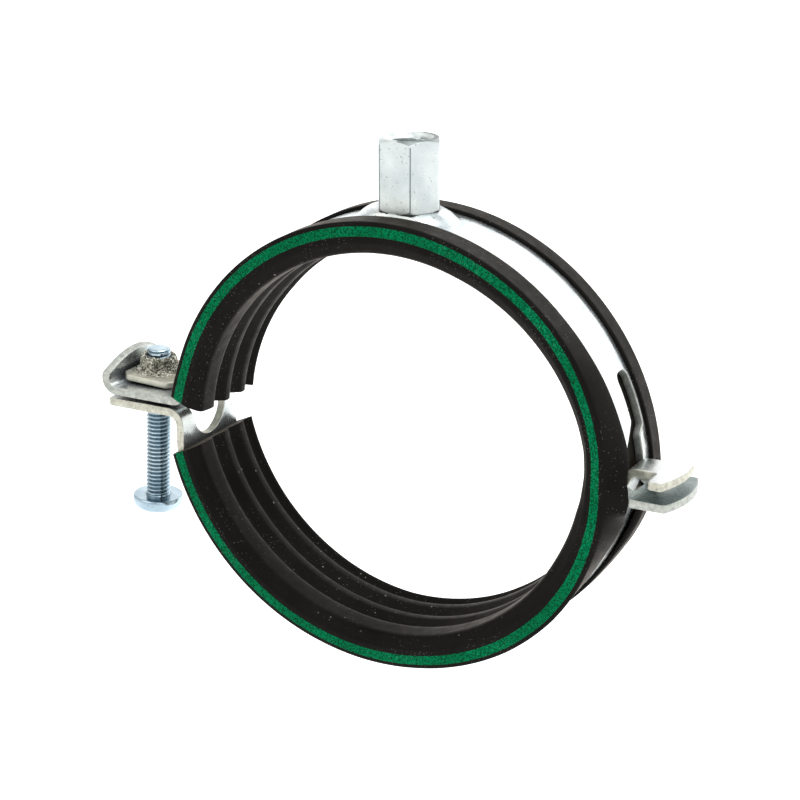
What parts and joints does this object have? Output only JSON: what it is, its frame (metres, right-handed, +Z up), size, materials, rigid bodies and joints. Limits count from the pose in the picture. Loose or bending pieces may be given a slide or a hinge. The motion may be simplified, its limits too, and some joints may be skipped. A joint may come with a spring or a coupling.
{
  "type": "rubber lined pipe clamp",
  "caption": "Hinged pipe clamp with a ribbed rubber lining, a side screw closure and a threaded connection nut on top, for hanging pipes.",
  "frame": {"origin": "centre of the upper half's pipe seat, midway along the lining", "axes": "+Y along the pipe, to the back; +Z up through the connection nut; +X to the hook, away from the closing screw"},
  "size_m": [0.1459, 0.0252, 0.1222],
  "materials": {
    "band_zinc": "bright zinc plated",
    "nut_zinc": "bright zinc plated",
    "plate_zinc": "dull zinc plated",
    "screw_zinc": "bluish zinc plated",
    "lining_rubber": "matte",
    "stripe_rubber": "matte, speckled"
  },
  "bodies": {
    "upper_half": {"upper_band": "band_zinc", "upper_liner": "lining_rubber", "upper_stripe": "stripe_rubber", "connection_nut": "nut_zinc"},
    "lower_half": {"lower_band": "band_zinc", "lower_liner": "lining_rubber", "lower_stripe": "stripe_rubber"},
    "plate": {"threaded_plate": "plate_zinc"},
    "screw": {"closing_screw": "screw_zinc"}
  },
  "joints": [
    {"name": "lower_swing", "type": "hinge", "parent": "upper_half", "child": "lower_half", "pos_m": [0.056, 0, 0.0032], "axis": [0, -1, 0], "range_deg": [0, 10.5]},
    {"name": "screw_rock", "type": "hinge", "parent": "upper_half", "child": "plate", "pos_m": [-0.0741, 0, 0.0082], "axis": [0, -1, 0], "range_deg": [0, 6.83]},
    {"name": "screw_spin", "type": "hinge", "parent": "plate", "child": "screw", "pos_m": [-0.0685, 0, 0.00806], "axis": [0.0454, 0, 0.999], "continuous": true}
  ],
  "couplings": [
    {"joint": "screw_rock", "follows": "lower_swing", "ratio": 0.65}
  ]
}
